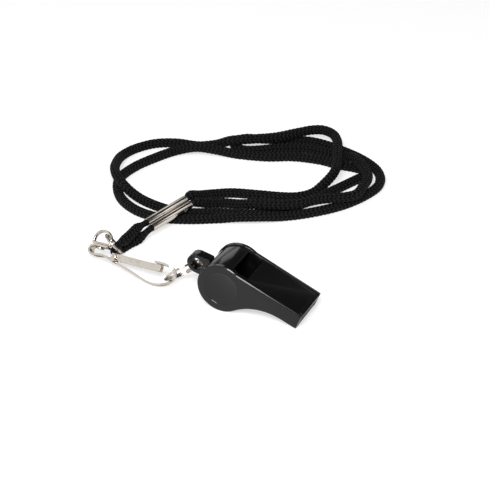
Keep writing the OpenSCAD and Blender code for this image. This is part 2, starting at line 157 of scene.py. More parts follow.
def chamfered(piece: bpy.types.Object, chosen: Callable[[Vector], bool], width: float) -> None:
    """Chamfer the sharp edges whose ends lie where a test says.

    Args:
        piece: the mesh.
        chosen: tells for a point in millimetres whether it belongs to such an edge.
        width: width of the chamfer in millimetres.
    """
    pick(piece)
    bpy.ops.object.mode_set(mode="EDIT")
    bpy.ops.mesh.select_mode(type="EDGE")
    bpy.ops.mesh.select_all(action="DESELECT")
    bpy.ops.mesh.edges_select_sharp(sharpness=math.radians(SHARP_DEGREES))
    bpy.ops.object.mode_set(mode="OBJECT")
    mesh = piece.data
    meant = [chosen(vertex.co / MM) for vertex in mesh.vertices]
    for edge in mesh.edges:
        edge.select = edge.select and all(meant[i] for i in edge.vertices)
    bpy.ops.object.mode_set(mode="EDIT")
    bpy.ops.mesh.bevel(offset=width * MM, segments=1, affect="EDGES", clamp_overlap=False)
    bpy.ops.object.mode_set(mode="OBJECT")


def copy_of(node: str, name: str) -> bpy.types.Object:
    """A merged copy of a CAD node's solid, with flat faces joined up.

    Args:
        node: the CAD node.
        name: the new piece's name.

    Returns:
        The copy, which stands for the node.
    """
    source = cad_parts[node]
    piece = bpy.data.objects.new(name, source.data.copy())
    bpy.context.scene.collection.objects.link(piece)
    piece.data.materials.clear()
    pick(piece)
    bpy.ops.object.mode_set(mode="EDIT")
    bpy.ops.mesh.select_all(action="SELECT")
    bpy.ops.mesh.remove_doubles(threshold=MERGE_REACH)
    bpy.ops.mesh.dissolve_limited(angle_limit=math.radians(FLAT_DEGREES))
    bpy.ops.object.mode_set(mode="OBJECT")
    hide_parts(node)
    return piece


def mesh_piece(name: str, corners: list[Point], faces: list[tuple[int, ...]]) -> bpy.types.Object:
    """A new mesh piece at the origin.

    Args:
        name: the piece's name.
        corners: its corners in metres.
        faces: the numbers of each face's corners.

    Returns:
        The piece.
    """
    mesh = bpy.data.meshes.new(name)
    mesh.from_pydata(corners, [], faces)
    mesh.update()
    piece = bpy.data.objects.new(name, mesh)
    bpy.context.scene.collection.objects.link(piece)
    return piece


def turn_outward(piece: bpy.types.Object) -> None:
    """Turn all faces of a closed piece outward.

    Args:
        piece: the piece.
    """
    pick(piece)
    bpy.ops.object.mode_set(mode="EDIT")
    bpy.ops.mesh.select_all(action="SELECT")
    bpy.ops.mesh.normals_make_consistent(inside=False)
    bpy.ops.object.mode_set(mode="OBJECT")


def tube_faces(rings: int, sides: int) -> list[tuple[int, ...]]:
    """The faces of a tube whose corners are listed ring by ring.

    Args:
        rings: how many rings it has.
        sides: how many corners a ring has.

    Returns:
        The faces of its wall, then its two ends.
    """
    faces: list[tuple[int, ...]] = []
    for start in range(0, (rings - 1) * sides, sides):
        for k in range(sides):
            beside = (k + 1) % sides
            faces.append((start + k, start + beside, start + sides + beside, start + sides + k))
    faces.append(tuple(range(sides - 1, -1, -1)))
    faces.append(tuple(range((rings - 1) * sides, rings * sides)))
    return faces


class Graph:
    """A material's node tree, with short calls to add and join nodes."""

    def __init__(self, name: str) -> None:
        """Start a material with only its shader and output.

        Args:
            name: the material's name.
        """
        self.material = bpy.data.materials.new(name)
        self.material.use_nodes = True
        self.tree = self.material.node_tree
        self.tree.nodes.clear()
        self.output = self.add("ShaderNodeOutputMaterial")
        self.shader = self.add("ShaderNodeBsdfPrincipled")
        self.join(self.shader, "BSDF", self.output, "Surface")

    def add(self, kind: str, **values: object) -> bpy.types.Node:
        """Add a node; values are its settings, or its inputs where no setting has the name.

        Args:
            kind: the node's type name.
            values: settings or inputs by name, underscores standing for spaces in inputs.

        Returns:
            The new node.
        """
        node = self.tree.nodes.new(kind)
        for key, value in values.items():
            if hasattr(node, key):
                setattr(node, key, value)
            else:
                node.inputs[key.replace("_", " ")].default_value = value
        return node

    def join(self, source: bpy.types.Node, out: str | int, target: bpy.types.Node,
             into: str | int) -> None:
        """Link one node's output to another's input, each by its name or number."""
        self.tree.links.new(source.outputs[out], target.inputs[into])

    def reckon(self, kind: str, *terms: tuple[bpy.types.Node, str] | float) -> bpy.types.Node:
        """A math node.

        Args:
            kind: what it works out.
            terms: its inputs in order, each a number or a node with one of its outputs.

        Returns:
            The math node.
        """
        node = self.add("ShaderNodeMath", operation=kind)
        for slot, term in enumerate(terms):
            if isinstance(term, tuple):
                self.join(*term, node, slot)
            else:
                node.inputs[slot].default_value = term
        return node

    def ramp(self, source: bpy.types.Node, out: str,
             stops: Sequence[tuple[float, Colour]]) -> bpy.types.Node:
        """A colour ramp fed by a node's output.

        Args:
            source: the node that feeds it.
            out: its output.
            stops: place and colour of each stop.

        Returns:
            The ramp node.
        """
        node = self.add("ShaderNodeValToRGB")
        elements = node.color_ramp.elements
        while len(elements) < len(stops):
            elements.new(0.5)
        for element, (place, colour) in zip(elements, stops):
            element.position = place
            element.color = (*colour, 1.0)
        self.join(source, out, node, "Fac")
        return node

    def spread(self, source: bpy.types.Node, out: str, low: float, high: float) -> bpy.types.Node:
        """Map a 0 to 1 output to a range of values.

        Args:
            source: the node that feeds it.
            out: its output.
            low: the value for 0.
            high: the value for 1.

        Returns:
            The range node.
        """
        node = self.add("ShaderNodeMapRange")
        node.inputs["To Min"].default_value = low
        node.inputs["To Max"].default_value = high
        self.join(source, out, node, "Value")
        return node

    def noise(self, coords: bpy.types.Node, out: str, scale: float, detail: float,
              roughness: float = 0.55) -> bpy.types.Node:
        """A noise texture.

        Args:
            coords: the node that gives its coordinates.
            out: that node's output.
            scale: how many waves of the noise a unit holds.
            detail: how many finer layers it has.
            roughness: how strong the finer layers are.

        Returns:
            The texture node.
        """
        node = self.add("ShaderNodeTexNoise", Scale=scale, Detail=detail, Roughness=roughness)
        self.join(coords, out, node, "Vector")
        return node

    def bump(self, source: bpy.types.Node, out: str, relief: Pair,
             under: bpy.types.Node | None = None) -> bpy.types.Node:
        """A bump from a node's output.

        Args:
            source: the node whose output is the height.
            out: that output.
            relief: height in metres of a full step, and the share of it that shows.
            under: another bump to add to.

        Returns:
            The bump node.
        """
        height, strength = relief
        node = self.add("ShaderNodeBump", Strength=strength, Distance=height)
        self.join(source, out, node, "Height")
        if under:
            self.join(under, "Normal", node, "Normal")
        return node


@dataclass(frozen=True)
class GlossPlastic:
    """Black moulded plastic with a polished skin."""

    colour: Colour = (0.0028, 0.0028, 0.003)
    worn: Colour = (0.0042, 0.0042, 0.0045)
    stops: Pair = (0.35, 0.7)
    gloss: Pair = (0.12, 0.2)
    flow: Pair = (90.0, 3.0)
    grain: Pair = (1400.0, 5.0)
    wave: Pair = (0.00012, 0.35)
    fine: Pair = (0.000006, 0.5)
    index: float = 1.4

    def material(self) -> bpy.types.Material:
        """Make the finish.

        Returns:
            The finished material.
        """
        graph = Graph("black_gloss_plastic")
        coords = graph.add("ShaderNodeTexCoord")
        flow = graph.noise(coords, "Object", *self.flow)
        grain = graph.noise(coords, "Object", *self.grain)
        tone = graph.ramp(flow, "Fac", tuple(zip(self.stops, (self.colour, self.worn))))
        graph.join(tone, "Color", graph.shader, "Base Color")
        rough = graph.spread(grain, "Fac", *self.gloss)
        graph.join(rough, "Result", graph.shader, "Roughness")
        wave = graph.bump(flow, "Fac", self.wave)
        fine = graph.bump(grain, "Fac", self.fine, wave)
        graph.join(fine, "Normal", graph.shader, "Normal")
        graph.shader.inputs["IOR"].default_value = self.index
        return graph.material


@dataclass(frozen=True)
class NickelPlate:
    """Bright nickel plate with faint polishing haze and a warm tint in its thin places."""

    bright: Colour = (0.6, 0.555, 0.5)
    warm: Colour = (0.43, 0.385, 0.33)
    edge: Colour = (0.3, 0.25, 0.21)
    stops: Pair = (0.28, 0.46)
    gloss: Pair = (0.12, 0.2)
    haze: Pair = (260.0, 4.0)
    grain: Pair = (2600.0, 3.0)
    dents: Pair = (0.00004, 0.3)
    fine: Pair = (0.000004, 0.5)

    def material(self) -> bpy.types.Material:
        """Make the finish.

        Returns:
            The finished material.
        """
        graph = Graph("nickel_plate")
        coords = graph.add("ShaderNodeTexCoord")
        haze = graph.noise(coords, "Object", *self.haze)
        grain = graph.noise(coords, "Object", *self.grain)
        tone = graph.ramp(haze, "Fac", tuple(zip(self.stops, (self.warm, self.bright))))
        graph.join(tone, "Color", graph.shader, "Base Color")
        rough = graph.spread(haze, "Fac", *self.gloss)
        graph.join(rough, "Result", graph.shader, "Roughness")
        dents = graph.bump(haze, "Fac", self.dents)
        fine = graph.bump(grain, "Fac", self.fine, dents)
        graph.join(fine, "Normal", graph.shader, "Normal")
        graph.shader.inputs["Metallic"].default_value = 1.0
        graph.shader.inputs["Specular Tint"].default_value = (*self.edge, 1.0)
        return graph.material


@dataclass(frozen=True)
class KnitYarn:
    """Black polyester yarn knitted in columns of V stitches, with shade painted into the grooves
    between them.
    """

    # Painted shade for the grooves between the stitches, far darker than the crowns.
    groove_shade: Colour = (0.0003, 0.0003, 0.0004)
    crown: Colour = (0.023, 0.023, 0.0255)
    tone_stops: Pair = (0.1, 0.9)
    ridge: Pair = (0.17, 0.44)
    valley_width: float = 0.1
    valley_left: float = 0.15
    relief: Pair = (0.0004, 1.0)
    fibres: Point = (150.0, 14.0, 1.0)
    fibre_noise: Pair = (1.0, 5.0)
    fibre_stops: Pair = (0.25, 0.75)
    fibre_tones: tuple[Colour, Colour] = ((0.4, 0.4, 0.41), (1.0, 1.0, 1.0))
    fibre_share: float = 0.7
    fibre_relief: Pair = (0.00008, 0.7)
    roughness: float = 0.7
    sheen: Pair = (0.02, 0.4)
    sheen_tint: Colour = (0.5, 0.5, 0.55)
    shine: float = 0.12

    def stitches(self, graph: Graph, uv: bpy.types.Node) -> bpy.types.Node:
        """Nodes that draw the V stitches.

        Args:
            graph: the material's tree.
            uv: the node with the cord's own map, in turns round it and stitches along it.

        Returns:
            A node whose value is 0 between the stitches and 1 on their crowns.
        """
        # A column folds at its middle, a row at its crown and a leg at its own middle.
        parts = graph.add("ShaderNodeSeparateXYZ")
        graph.join(uv, "UV", parts, "Vector")
        wale = graph.reckon("MULTIPLY", (parts, "X"), WALES)
        leg = graph.reckon("PINGPONG", (wale, "Value"), 0.5)
        lean = graph.reckon("MULTIPLY", (leg, "Value"), 2 * STITCH_SLANT)
        row = graph.reckon("ADD", (parts, "Y"), (lean, "Value"))
        swell = graph.reckon("PINGPONG", (row, "Value"), 0.5)
        half = graph.reckon("PINGPONG", (leg, "Value"), 0.25)
        ridge = graph.add("ShaderNodeMapRange", interpolation_type="SMOOTHSTEP")
        ridge.inputs["From Min"].default_value = self.ridge[0]
        ridge.inputs["From Max"].default_value = self.ridge[1]
        graph.join(swell, "Value", ridge, "Value")
        valley = graph.add("ShaderNodeMapRange", interpolation_type="SMOOTHSTEP")
        valley.inputs["From Max"].default_value = self.valley_width
        valley.inputs["To Min"].default_value = self.valley_left
        graph.join(half, "Value", valley, "Value")
        return graph.reckon("MULTIPLY", (ridge, "Result"), (valley, "Result"))

    def material(self) -> bpy.types.Material:
        """Make the finish, which reads the cord's own map.

        Returns:
            The finished material.
        """
        graph = Graph("black_knit_yarn")
        uv = graph.add("ShaderNodeUVMap", uv_map="stitches")
        crown = self.stitches(graph, uv)
        fibres = graph.add("ShaderNodeMapping")
        fibres.inputs["Scale"].default_value = self.fibres
        graph.join(uv, "UV", fibres, "Vector")
        fuzz = graph.noise(fibres, "Vector", *self.fibre_noise)
        # The colour follows the stitch height: the grooves get painted shade, and the crowns keep
        # the yarn's own dark colour.
        tone = graph.ramp(crown, "Value", tuple(zip(self.tone_stops, (self.groove_shade, self.crown))))
        shade = graph.ramp(fuzz, "Fac", tuple(zip(self.fibre_stops, self.fibre_tones)))
        mix = graph.add("ShaderNodeMix", data_type="RGBA", blend_type="MULTIPLY")
        mix.inputs["Factor"].default_value = self.fibre_share
        graph.join(tone, "Color", mix, MIX_FIRST)
        graph.join(shade, "Color", mix, MIX_SECOND)
        graph.join(mix, MIX_RESULT, graph.shader, "Base Color")
        stitch = graph.bump(crown, "Value", self.relief)
        bump = graph.bump(fuzz, "Fac", self.fibre_relief, stitch)
        graph.join(bump, "Normal", graph.shader, "Normal")
        graph.shader.inputs["Roughness"].default_value = self.roughness
        graph.shader.inputs["Sheen Weight"].default_value = self.sheen[0]
        graph.shader.inputs["Sheen Roughness"].default_value = self.sheen[1]
        graph.shader.inputs["Sheen Tint"].default_value = (*self.sheen_tint, 1.0)
        graph.shader.inputs["Specular IOR Level"].default_value = self.shine
        return graph.material


@dataclass(frozen=True)
class CorkGrain:
    """Pressed cork with dark flecks, both tones set darker than real cork as painted shade for the
    chamber round the pea.
    """

    # Painted shade: both tones are darker than real cork, standing for the shade inside the
    # whistle's chamber.
    pale: Colour = (0.3, 0.18, 0.1)
    dark: Colour = (0.1, 0.05, 0.025)
    stops: Pair = (0.38, 0.52)
    cells: float = 900.0
    flecks: Pair = (700.0, 6.0)
    pits: Pair = (0.0002, 0.5)
    fine: Pair = (0.0001, 0.6)
    roughness: float = 0.8

    def material(self) -> bpy.types.Material:
        """Make the finish.

        Returns:
            The finished material.
        """
        graph = Graph("pressed_cork")
        coords = graph.add("ShaderNodeTexCoord")
        cells = graph.add("ShaderNodeTexVoronoi", Scale=self.cells)
        graph.join(coords, "Object", cells, "Vector")
        flecks = graph.noise(coords, "Object", *self.flecks)
        tone = graph.ramp(flecks, "Fac", tuple(zip(self.stops, (self.dark, self.pale))))
        graph.join(tone, "Color", graph.shader, "Base Color")
        pits = graph.bump(cells, "Distance", self.pits)
        rough = graph.bump(flecks, "Fac", self.fine, pits)
        graph.join(rough, "Normal", graph.shader, "Normal")
        graph.shader.inputs["Roughness"].default_value = self.roughness
        return graph.material


@dataclass(frozen=True)
class TableTop:
    """White studio table, which glows for the camera and in polished and clear pieces."""

    colour: Colour = (0.5, 0.5, 0.5)
    paper: Pair = (300.0, 2.0)
    roughness: Pair = (0.75, 0.85)
    shine: float = 0.1
    glow: float = 0.6

    def material(self) -> bpy.types.Material:
        """Make the finish.

        Returns:
            The finished material.
        """
        graph = Graph("studio_table")
        coords = graph.add("ShaderNodeTexCoord")
        paper = graph.noise(coords, "Object", *self.paper)
        rough = graph.spread(paper, "Fac", *self.roughness)
        graph.join(rough, "Result", graph.shader, "Roughness")
        graph.shader.inputs["Base Color"].default_value = (*self.colour, 1.0)
        graph.shader.inputs["Specular IOR Level"].default_value = self.shine
        path = graph.add("ShaderNodeLightPath")
        direct = graph.reckon("MAXIMUM", (path, "Is Camera Ray"), (path, "Is Glossy Ray"))
        seen = graph.reckon("MAXIMUM", (direct, "Value"), (path, "Is Transmission Ray"))
        power = graph.reckon("MULTIPLY", (seen, "Value"), self.glow)
        glow = graph.add("ShaderNodeEmission")
        graph.join(power, "Value", glow, "Strength")
        both = graph.add("ShaderNodeAddShader")
        for slot, source in enumerate((graph.shader, glow)):
            graph.join(source, 0, both, slot)
        graph.join(both, "Shader", graph.output, "Surface")
        return graph.material


class Coating(Enum):
    """The finishes that the pieces wear."""

    PLASTIC = GlossPlastic()
    NICKEL = NickelPlate()
    YARN = KnitYarn()
    CORK = CorkGrain()


@cache
def finish_of(coating: Coating) -> bpy.types.Material:
    """A coating's material, made once."""
    return coating.value.material()


def wear(piece: bpy.types.Object, coating: Coating, body: str) -> None:
    """Dress a piece and let it ride.

    Args:
        piece: the piece.
        coating: its finish.
        body: the body it moves with.
    """
    piece.data.materials.clear()
    piece.data.materials.append(finish_of(coating))
    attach(piece, body)
    LOG.info("%s: %d faces on %s", piece.name, len(piece.data.polygons), body)


def between(p0: Vector, p1: Vector, p2: Vector, p3: Vector, t: float) -> Vector:
    """A point of the smooth curve through p1 and p2, given their outer neighbours."""
    return 0.5 * (2 * p1 + (p2 - p0) * t + (2 * p0 - 5 * p1 + 4 * p2 - p3) * t * t
                  + (3 * p1 - p0 - 3 * p2 + p3) * t * t * t)


@dataclass
class Route:
    """A cord's middle line through points chosen along it."""

    points: list[Vector]
    radii: list[float]
    step: float = 0.00042
    fine_steps: int = 24

    def curve(self) -> tuple[list[Vector], list[float]]:
        """The smooth curve, in the same number of steps from point to point.

        Returns:
            The curve's points and the radius at each.
        """
        fine: list[Vector] = []
        thick: list[float] = []
        last = len(self.points) - 1
        for i in range(last):
            p0, p1 = self.points[max(i - 1, 0)], self.points[i]
            p2, p3 = self.points[i + 1], self.points[min(i + 2, last)]
            for k in range(self.fine_steps):
                t = k / self.fine_steps
                fine.append(between(p0, p1, p2, p3, t))
                thick.append(self.radii[i] + (self.radii[i + 1] - self.radii[i]) * t)
        fine.append(self.points[last])
        thick.append(self.radii[last])
        return fine, thick

    def even(self) -> tuple[list[Vector], list[float]]:
        """The smooth curve in even steps along it.

        Returns:
            The curve's points and the radius at each.
        """
        fine, thick = self.curve()
        runs = [0.0]
        for a, b in zip(fine, fine[1:]):
            runs.append(runs[-1] + (b - a).length)
        count = max(2, round(runs[-1] / self.step))
        line: list[Vector] = []
        radii: list[float] = []
        j = 0
        for i in range(count + 1):
            run = runs[-1] * i / count
            while j < len(runs) - 2 and runs[j + 1] < run:
                j += 1
            share = (run - runs[j]) / max(runs[j + 1] - runs[j], SHORTEST_RUN)
            line.append(fine[j].lerp(fine[j + 1], min(max(share, 0.0), 1.0)))
            radii.append(thick[j] + (thick[j + 1] - thick[j]) * share)
        return line, radii

    def length(self) -> float:
        """Length of the smooth line in metres."""
        line, _ = self.even()
        return sum((b - a).length for a, b in zip(line, line[1:]))


@dataclass
class KnittedTube:
    """A round knitted cord: columns of slanted stitches round a tube."""

    name: str
    route: Route
    sides: int = 40
    stitch: float = 0.0019
    proud: float = 0.0004
    sunk: float = 0.0001
    pressed: float = 0.0015
    fade: float = 0.0003
    table: float = 0.00003
    leg_power: float = 3.2
    row_power: float = 2.6
    swell_power: float = 0.6
    groove_left: float = 0.25

    def crown(self, along: float, column: float) -> float:
        """Height of the stitches, from 0 in the grooves to 1 on the crowns.

        Args:
            along: place along the cord, in stitches.
            column: place round it, in legs of stitches.

        Returns:
            The height.
        """
        leg = column % 1.0
        lean = STITCH_SLANT * (leg if int(column) % 2 == 0 else 1.0 - leg)
        across = 1.0 - abs(2 * leg - 1.0) ** self.leg_power
        row = (along + lean) % 1.0
        swell = max(0.0, 1.0 - abs(2 * row - 1.0) ** self.row_power)
        return swell ** self.swell_power * (self.groove_left + (1.0 - self.groove_left) * across)

    def reach(self, radius: float, height: float) -> float:
        """How far the surface lies from the middle line where the stitches have some height."""
        free = min((radius - self.pressed) / self.fade, 1.0)
        return radius + free * (self.proud * height - self.sunk * (1.0 - height))

    def map_stitches(self, mesh: bpy.types.Mesh, walls: int) -> None:
        """Lay the stitch map on the cord: turns round it by stitches along it.

        Args:
            mesh: the cord's mesh, ring by ring.
            walls: how many of its faces are wall, before the two ends.
        """
        layer = mesh.uv_layers.new(name="stitches")
        for face in mesh.polygons:
            seam = face.index < walls and face.index % self.sides == self.sides - 1
            for loop in face.loop_indices:
                ring, k = divmod(mesh.loops[loop].vertex_index, self.sides)
                if k == 0 and seam:
                    k = self.sides
                layer.data[loop].uv = (k / self.sides, ring * self.route.step / self.stitch)

    def build(self) -> bpy.types.Object:
        """Make the cord.

        Returns:
            The closed mesh piece, with its stitch map.
        """
        line, radii = self.route.even()
        corners: list[Point] = []
        rings = len(line)
        up = Vector((0.0, 0.0, 1.0))
        ahead = (line[1] - line[0]).normalized()
        side = ahead.cross(up).normalized()
        for i, centre in enumerate(line):
            ahead = (line[min(i + 1, rings - 1)] - line[max(i - 1, 0)]).normalized()
            side = (side - ahead * side.dot(ahead)).normalized()
            rise = side.cross(ahead)
            along = i * self.route.step / self.stitch
            for k in range(self.sides):
                angle = TURN * k / self.sides
                height = self.crown(along, 2 * WALES * k / self.sides)
                outward = side * math.cos(angle) + rise * math.sin(angle)
                spot = centre + outward * self.reach(radii[i], height)
                spot.z = max(spot.z, self.table)
                corners.append(spot[:])
        piece = mesh_piece(self.name, corners, tube_faces(rings, self.sides))
        self.map_stitches(piece.data, (rings - 1) * self.sides)
        turn_outward(piece)
        smooth(piece, SOFT_SHADE_DEGREES)
        return piece


@dataclass
class NeckCord:
    """The neck cord, its small end loop and the double ferrule that holds both."""

    radius: float = 1.85
    squeezed: float = 1.35
    pressed: float = 1.5
    rise: float = 4.3
    neck_ends: int = 2
    loop_ends: int = 3
    bight: tuple[int, int] = (6, 9)
    ferrule_edge: float = 0.12
    route: list[Point] = field(default_factory=lambda: CORD_ROUTE)
    loop: list[Point] = field(default_factory=lambda: LOOP_ROUTE)

    def neck_route(self) -> Route:
        """The neck cord's middle line.

        Returns:
            The route in metres, squeezed at both ends.
        """
        points = [placed((x, y, self.radius + self.rise * lift)) for x, y, lift in self.route]
        radii = [self.radius] * len(points)
        self.squeeze_ends(radii, self.neck_ends)
        return Route(points, [r * MM for r in radii])

    def loop_route(self) -> Route:
        """The end loop's middle line.

        Returns:
            The route in metres, squeezed at both ends and pressed where it holds the ring.
        """
        points = [placed(p) for p in self.loop]
        first, last = self.bight
        radii = [self.pressed if first <= i <= last else self.radius for i in range(len(points))]
        self.squeeze_ends(radii, self.loop_ends)
        return Route(points, [r * MM for r in radii])

    def squeeze_ends(self, radii: list[float], count: int) -> None:
        """Give some points at each end the radius that the ferrule leaves them."""
        radii[:count] = [self.squeezed] * count
        radii[-count:] = [self.squeezed] * count

    def build(self) -> None:
        neck = self.neck_route()
        cord = KnittedTube("neck_cord_knit", neck).build()
        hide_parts("neck_cord")
        wear(cord, Coating.YARN, "cord")
        small = self.loop_route()
        loop = KnittedTube("end_loop_knit", small).build()
        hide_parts("end_loop")
        wear(loop, Coating.YARN, "cord")
        ferrule = copy_of("ferrule", "double_ferrule")
        rounded(ferrule, self.ferrule_edge)
        smooth(ferrule)
        wear(ferrule, Coating.NICKEL, "cord")
        neck.length()
        [p[:] for p in neck.even()[0][::4]]
        small.length()
        [p[:] for p in small.even()[0][::2]]


@dataclass
class Whistle:
    """The moulded whistle: barrel with mouthpiece and lug, two side plates and the pea."""

    body_edge: float = 0.22
    face_edge: float = 0.32
    inner_edge: float = 0.16
    recess_edge: float = 0.2
    recess_reach: float = 7.25
    face_slack: float = 0.02
    axis_height: float = 10.5
    pea_detail: int = 5
    lumps: float = 0.16
    lump_size: float = 1.4

    def barrel(self) -> bpy.types.Object:
        """The barrel with its mouthpiece, window and lug.

        Returns:
            The piece.
        """
        piece = copy_of("barrel_body", "barrel_with_mouthpiece")
        rounded(piece, self.body_edge)
        smooth(piece)
        return piece

    def plate(self, node: str, name: str) -> bpy.types.Object:
        """One side plate with its recess.

        Args:
            node: the plate's CAD node.
            name: the new piece's name.

        Returns:
            The piece.
        """
        piece = copy_of(node, name)
        low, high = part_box(node)
        face, inner = sorted((low[1] / MM, high[1] / MM), key=abs, reverse=True)

        def lies_on(point: Vector, level: float) -> bool:
            """Whether a point lies on the plate's face at some level."""
            return abs(point.y - level) < self.face_slack

        def in_recess(point: Vector) -> bool:
            """Whether a point lies on or inside the recess's rim."""
            out = math.hypot(point.x - DRUM_FOOT.x, point.z - self.axis_height)
            return out < self.recess_reach

        chamfered(piece, lambda p: lies_on(p, inner), self.inner_edge)
        chamfered(piece, lambda p: lies_on(p, face) and not in_recess(p), self.face_edge)
        chamfered(piece, lambda p: lies_on(p, face) and in_recess(p), self.recess_edge)
        smooth(piece)
        return piece

    def pea(self) -> bpy.types.Object:
        """The cork pea: a ball with shallow lumps.

        Returns:
            The piece.
        """
        low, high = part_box("pea")
        centre = (Vector(low) + Vector(high)) / 2
        deselect()
        bpy.ops.mesh.primitive_ico_sphere_add(
            subdivisions=self.pea_detail, radius=(high[2] - low[2]) / 2, location=centre)
        piece = bpy.context.object
        piece.name = "cork_pea"
        settle(piece)
        texture = bpy.data.textures.new("pea_lumps", "CLOUDS")
        texture.noise_scale = self.lump_size * MM
        lumps = piece.modifiers.new("lumps", "DISPLACE")
        lumps.texture = texture
        lumps.texture_coords = "LOCAL"
        lumps.strength = -self.lumps * MM
        lumps.mid_level = 0.0
        finish_modifiers(piece)
        smooth(piece, SOFT_SHADE_DEGREES)
        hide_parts("pea")
        return piece

    def build(self) -> None:
        """Make and dress the whistle."""
        wear(self.barrel(), Coating.PLASTIC, "whistle")
        for side in ("near", "far"):
            plate = self.plate(f"{side}_side_plate", f"side_plate_{side}")
            wear(plate, Coating.PLASTIC, "whistle")
        wear(self.pea(), Coating.CORK, "pea")


@dataclass
class Placement:
    """A place and direction for pieces drawn about their own axis."""

    at: Point
    turn: Point

    def matrix(self) -> Matrix:
        """Work the place out as a matrix.

        Returns:
            The matrix from the piece's own millimetres to the shared frame in metres.
        """
        turned = Matrix.Identity(3)
        for degrees, axis in zip(reversed(self.turn), "ZYX"):
            turned = turned @ Matrix.Rotation(math.radians(degrees), 3, axis)
        return Matrix.Translation(placed(self.at)) @ turned.to_4x4() @ Matrix.Scale(MM, 4)


@dataclass
class WireRings:
    """The split ring of the whistle and the plain ring of the swivel."""

    split: Placement = field(
        default_factory=lambda: Placement((-21.3, -0.85, 9.0), (0.0, 47.5, 149.0)))
    split_radius: float = 8.0
    split_wire: Pair = (1.0, 0.8)
    split_slack: Pair = (0.01, 0.012)
    split_start: float = -130.0
    split_over: float = 200.0
    split_step: float = 0.16
    section_points: int = 24
    section_power: float = 0.45
    ring_steps: int = 120
    link: Placement = field(
        default_factory=lambda: Placement((-57.6, 8.1, 7.45), (0.0, 53.0, 42.9)))
    link_radius: float = 4.7
    link_wire: float = 0.55
    link_start: float = 200.0
    link_edge: float = 0.05
    link_corner: float = 60.0
    slit: float = 1.2

    def split_ring(self) -> bpy.types.Object:
        """The flat steel wire wound almost twice round, one turn on the other.

        Returns:
            The piece.
        """
        high = self.split_wire[1]
        turns = 1.0 + self.split_over / 360.0
        steps = round(self.ring_steps * turns)
        line: list[Matrix] = []
        for i in range(steps + 1):
            share = i / steps
            degrees = self.split_start + self.split_over + 360 * turns * (share - 1.0) + 360.0
            rise = self.rise(share * turns) * high - high / 2
            line.append(Matrix.Rotation(math.radians(degrees), 4, "Z")
                        @ Matrix.Translation((self.split_radius, 0.0, rise)))
        piece = swept("split_ring_wire", line, self.soft_section(), self.split.matrix())
        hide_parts("split_ring")
        return piece

    def rise(self, turned: float) -> float:
        """How many wires high the strip lies after some turns: it steps up over the first end."""
        share = min(max((turned - 1.0 + self.split_step) / self.split_step, 0.0), 1.0)
        return share * share * (3 - 2 * share)

    def soft_section(self) -> list[Pair]:
        """The strip's section, a rounded rectangle.

        Returns:
            Its points in millimetres.
        """
        half, tall = (size / 2 - slack for size, slack in zip(self.split_wire, self.split_slack))
        points: list[Pair] = []
        for k in range(self.section_points):
            angle = TURN * k / self.section_points
            across, up = math.cos(angle), math.sin(angle)
            points.append((half * math.copysign(abs(across) ** self.section_power, across),
                           tall * math.copysign(abs(up) ** self.section_power, up)))
        return points

    def link_ring(self) -> bpy.types.Object:
        """The round wire ring of the swivel, bent closed with a fine slit.

        Returns:
            The piece.
        """
        deselect()
        bpy.ops.mesh.primitive_circle_add(
            vertices=self.section_points, radius=self.link_wire, fill_type="NGON",
            location=(self.link_radius, 0.0, 0.0), rotation=(math.pi / 2, 0.0, 0.0))
        piece = bpy.context.object
        piece.name = "swivel_link_ring"
        settle(piece)
        bpy.ops.object.mode_set(mode="EDIT")
        bpy.ops.mesh.select_all(action="SELECT")
        bpy.ops.mesh.spin(steps=self.ring_steps, angle=TURN - math.radians(self.slit),
                          center=(0.0, 0.0, 0.0), axis=(0.0, 0.0, 1.0), dupli=False)
        bpy.ops.object.mode_set(mode="OBJECT")
        turn_outward(piece)
        piece.data.transform(Matrix.Rotation(math.radians(self.link_start), 4, "Z"))
        piece.data.transform(self.link.matrix())
        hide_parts("link_ring")
        return piece

    def build(self) -> None:
        """Make and dress the rings."""
        ring = self.split_ring()
        smooth(ring)
        wear(ring, Coating.NICKEL, "split_ring")
        link = self.link_ring()
        rounded(link, self.link_edge, segments=2, degrees=self.link_corner)
        smooth(link)
        wear(link, Coating.NICKEL, "link_ring")


def swept(name: str, line: list[Matrix], section: list[Pair], place: Matrix) -> bpy.types.Object:
    """A closed wire: a section carried along a line of places.

    Args:
        name: the piece's name.
        line: a matrix for each ring; x and z of its frame are the section's plane.
        section: the section's points in millimetres.
        place: from the line's millimetres to the shared frame.

    Returns:
        The piece, with its ends closed.
    """
    corners = [(place @ (m @ Vector((a, 0.0, b))))[:] for m in line for a, b in section]
    piece = mesh_piece(name, corners, tube_faces(len(line), len(section)))
    turn_outward(piece)
    return piece


